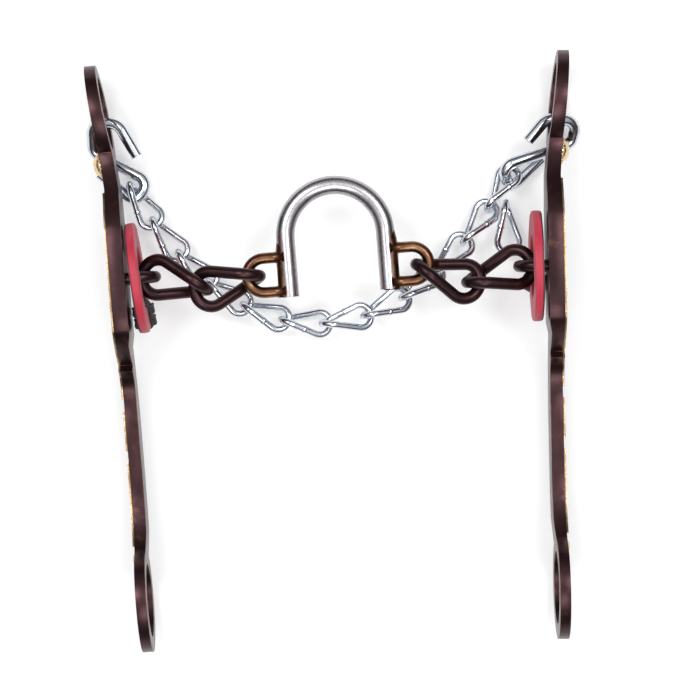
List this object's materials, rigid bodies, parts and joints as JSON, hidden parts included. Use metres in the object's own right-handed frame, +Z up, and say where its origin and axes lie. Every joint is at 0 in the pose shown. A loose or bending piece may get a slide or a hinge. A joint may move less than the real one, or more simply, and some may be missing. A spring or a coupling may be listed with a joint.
{
  "type": "chain-mouth curb bit with ported mouthpiece",
  "caption": "Ported chain-mouth curb bit: two S-shank cheeks, twisted mouth links with red guards, and a curb chain on two hooks.",
  "frame": {"origin": "middle of the footprint on the bench that the bit lies on", "axes": "+X across the mouthpiece from the left cheek to the right, +Y up the cheeks towards the headstall loops, +Z up from the bench"},
  "size_m": [0.1498, 0.1812, 0.038],
  "materials": {
    "cheek_steel": "antiqued dark brown steel, satin, worn at the corners",
    "mouth_steel": "dark browned steel rod, satin",
    "engraved_brass": "engraved jeweller's brass, satin",
    "port_steel": "polished stainless rod",
    "copper_ring": "copper brazed steel ring",
    "zinc_chain": "bright zinc plated wire",
    "guard_rubber": "red rubber with a dark outer face",
    "tie_cord": "black waxed lace"
  },
  "bodies": {
    "port": {"port_arch": "port_steel", "left_port_ring": "copper_ring", "right_port_ring": "copper_ring"},
    "left_inner_link": {"left_inner_mouth_link": "mouth_steel"},
    "left_outer_link": {"left_outer_mouth_link": "mouth_steel"},
    "left_cheekpiece": {"left_cheek": "cheek_steel", "left_staple": "mouth_steel", "left_upper_overlay": "engraved_brass", "left_middle_overlay": "engraved_brass", "left_lower_overlay": "engraved_brass", "left_upper_dome": "engraved_brass", "left_lower_dome": "engraved_brass"},
    "left_guard": {"left_bit_guard": "guard_rubber", "left_guard_tie": "tie_cord"},
    "left_hook": {"left_curb_hook": "zinc_chain"},
    "right_inner_link": {"right_inner_mouth_link": "mouth_steel"},
    "right_outer_link": {"right_outer_mouth_link": "mouth_steel"},
    "right_cheekpiece": {"right_cheek": "cheek_steel", "right_staple": "mouth_steel", "right_upper_overlay": "engraved_brass", "right_middle_overlay": "engraved_brass", "right_lower_overlay": "engraved_brass", "right_upper_dome": "engraved_brass", "right_lower_dome": "engraved_brass"},
    "right_guard": {"right_bit_guard": "guard_rubber", "right_guard_tie": "tie_cord"},
    "right_hook": {"right_curb_hook": "zinc_chain"},
    "curb_01": {"curb_link_01": "zinc_chain"},
    "curb_02": {"curb_link_02": "zinc_chain"},
    "curb_03": {"curb_link_03": "zinc_chain"},
    "curb_04": {"curb_link_04": "zinc_chain"},
    "curb_05": {"curb_link_05": "zinc_chain"},
    "curb_06": {"curb_link_06": "zinc_chain"},
    "curb_07": {"curb_link_07": "zinc_chain"},
    "curb_08": {"curb_link_08": "zinc_chain"},
    "curb_09": {"curb_link_09": "zinc_chain"},
    "curb_10": {"curb_link_10": "zinc_chain"},
    "curb_11": {"curb_link_11": "zinc_chain"},
    "curb_12": {"curb_link_12": "zinc_chain"},
    "spare_link": {"spare_curb_link": "zinc_chain"}
  },
  "joints": [
    {"name": "left_inner_link_bend", "type": "hinge", "parent": "port", "child": "left_inner_link", "pos_m": [-0.02561, 0.02205, 0.0215], "axis": [0, 0, 1], "range_deg": [-10, 10]},
    {"name": "left_outer_link_bend", "type": "hinge", "parent": "left_inner_link", "child": "left_outer_link", "pos_m": [-0.03734, 0.01825, 0.0215], "axis": [0, 0, -1], "range_deg": [-10, 10]},
    {"name": "left_cheek_swing", "type": "hinge", "parent": "left_outer_link", "child": "left_cheekpiece", "pos_m": [-0.05302, 0.02211, 0.0215], "axis": [0.9996, 0.0288, 0], "range_deg": [-15, 25]},
    {"name": "left_guard_slide", "type": "slide", "parent": "left_cheekpiece", "child": "left_guard", "axis": [0.9968, 0.0802, 0], "range_m": [0, 0.003]},
    {"name": "left_hook_swing", "type": "hinge", "parent": "left_cheekpiece", "child": "left_hook", "pos_m": [-0.06835, 0.06112, 0.008], "axis": [0, 0, -1], "range_deg": [-4, 2.5]},
    {"name": "right_inner_link_bend", "type": "hinge", "parent": "port", "child": "right_inner_link", "pos_m": [0.02861, 0.02641, 0.0215], "axis": [0, 0, -1], "range_deg": [-10, 10]},
    {"name": "right_outer_link_bend", "type": "hinge", "parent": "right_inner_link", "child": "right_outer_link", "pos_m": [0.03996, 0.02045, 0.0215], "axis": [0, 0, 1], "range_deg": [-10, 10]},
    {"name": "right_cheek_swing", "type": "hinge", "parent": "right_outer_link", "child": "right_cheekpiece", "pos_m": [0.05541, 0.02523, 0.0215], "axis": [0.9996, 0.0288, 0], "range_deg": [-15, 25]},
    {"name": "right_guard_slide", "type": "slide", "parent": "right_cheekpiece", "child": "right_guard", "axis": [-0.9998, -0.0209, 0], "range_m": [0, 0.0005]},
    {"name": "right_hook_swing", "type": "hinge", "parent": "right_cheekpiece", "child": "right_hook", "pos_m": [0.06672, 0.06545, 0.008], "axis": [0, 0, 1], "range_deg": [-4, 0.5]},
    {"name": "curb_01_bend", "type": "hinge", "parent": "left_hook", "child": "curb_01", "pos_m": [-0.06031, 0.04804, 0.005], "axis": [0, 0, 1], "range_deg": [-4, 10]},
    {"name": "curb_02_bend", "type": "hinge", "parent": "curb_01", "child": "curb_02", "pos_m": [-0.05507, 0.03994, 0.005], "axis": [0, 0, 1], "range_deg": [-4, 10]},
    {"name": "curb_03_bend", "type": "hinge", "parent": "curb_02", "child": "curb_03", "pos_m": [-0.04719, 0.03004, 0.005], "axis": [0, 0, 1], "range_deg": [-4, 10]},
    {"name": "curb_04_bend", "type": "hinge", "parent": "curb_03", "child": "curb_04", "pos_m": [-0.03811, 0.02126, 0.005], "axis": [0, 0, 1], "range_deg": [-4, 10]},
    {"name": "curb_05_bend", "type": "hinge", "parent": "curb_04", "child": "curb_05", "pos_m": [-0.02766, 0.01416, 0.005], "axis": [0, 0, 1], "range_deg": [-4, 10]},
    {"name": "curb_06_bend", "type": "hinge", "parent": "curb_05", "child": "curb_06", "pos_m": [-0.01591, 0.00957, 0.005], "axis": [0, 0, 1], "range_deg": [-4, 10]},
    {"name": "curb_12_bend", "type": "hinge", "parent": "right_hook", "child": "curb_12", "pos_m": [0.05186, 0.05285, 0.005], "axis": [0, 0, 1], "range_deg": [-5, 1]},
    {"name": "curb_11_bend", "type": "hinge", "parent": "curb_12", "child": "curb_11", "pos_m": [0.04683, 0.04278, 0.0063], "axis": [0, 0, 1], "range_deg": [-10, 4]},
    {"name": "curb_10_bend", "type": "hinge", "parent": "curb_11", "child": "curb_10", "pos_m": [0.03925, 0.03266, 0.0076], "axis": [0, 0, 1], "range_deg": [-10, 4]},
    {"name": "curb_09_bend", "type": "hinge", "parent": "curb_10", "child": "curb_09", "pos_m": [0.03052, 0.02352, 0.0089], "axis": [0, 0, 1], "range_deg": [-10, 4]},
    {"name": "curb_08_bend", "type": "hinge", "parent": "curb_09", "child": "curb_08", "pos_m": [0.02045, 0.01589, 0.0102], "axis": [0, 0, 1], "range_deg": [-10, 4]},
    {"name": "curb_07_bend", "type": "hinge", "parent": "curb_08", "child": "curb_07", "pos_m": [0.00903, 0.01053, 0.0115], "axis": [0, 0, 1], "range_deg": [-10, 4]},
    {"name": "spare_link_swing", "type": "hinge", "parent": "curb_12", "child": "spare_link", "pos_m": [0.05236, 0.04505, 0.005], "axis": [0, 0, 1], "range_deg": [-4, 2]}
  ],
  "couplings": [
    {"joint": "right_cheek_swing", "follows": "left_cheek_swing", "ratio": 1}
  ]
}
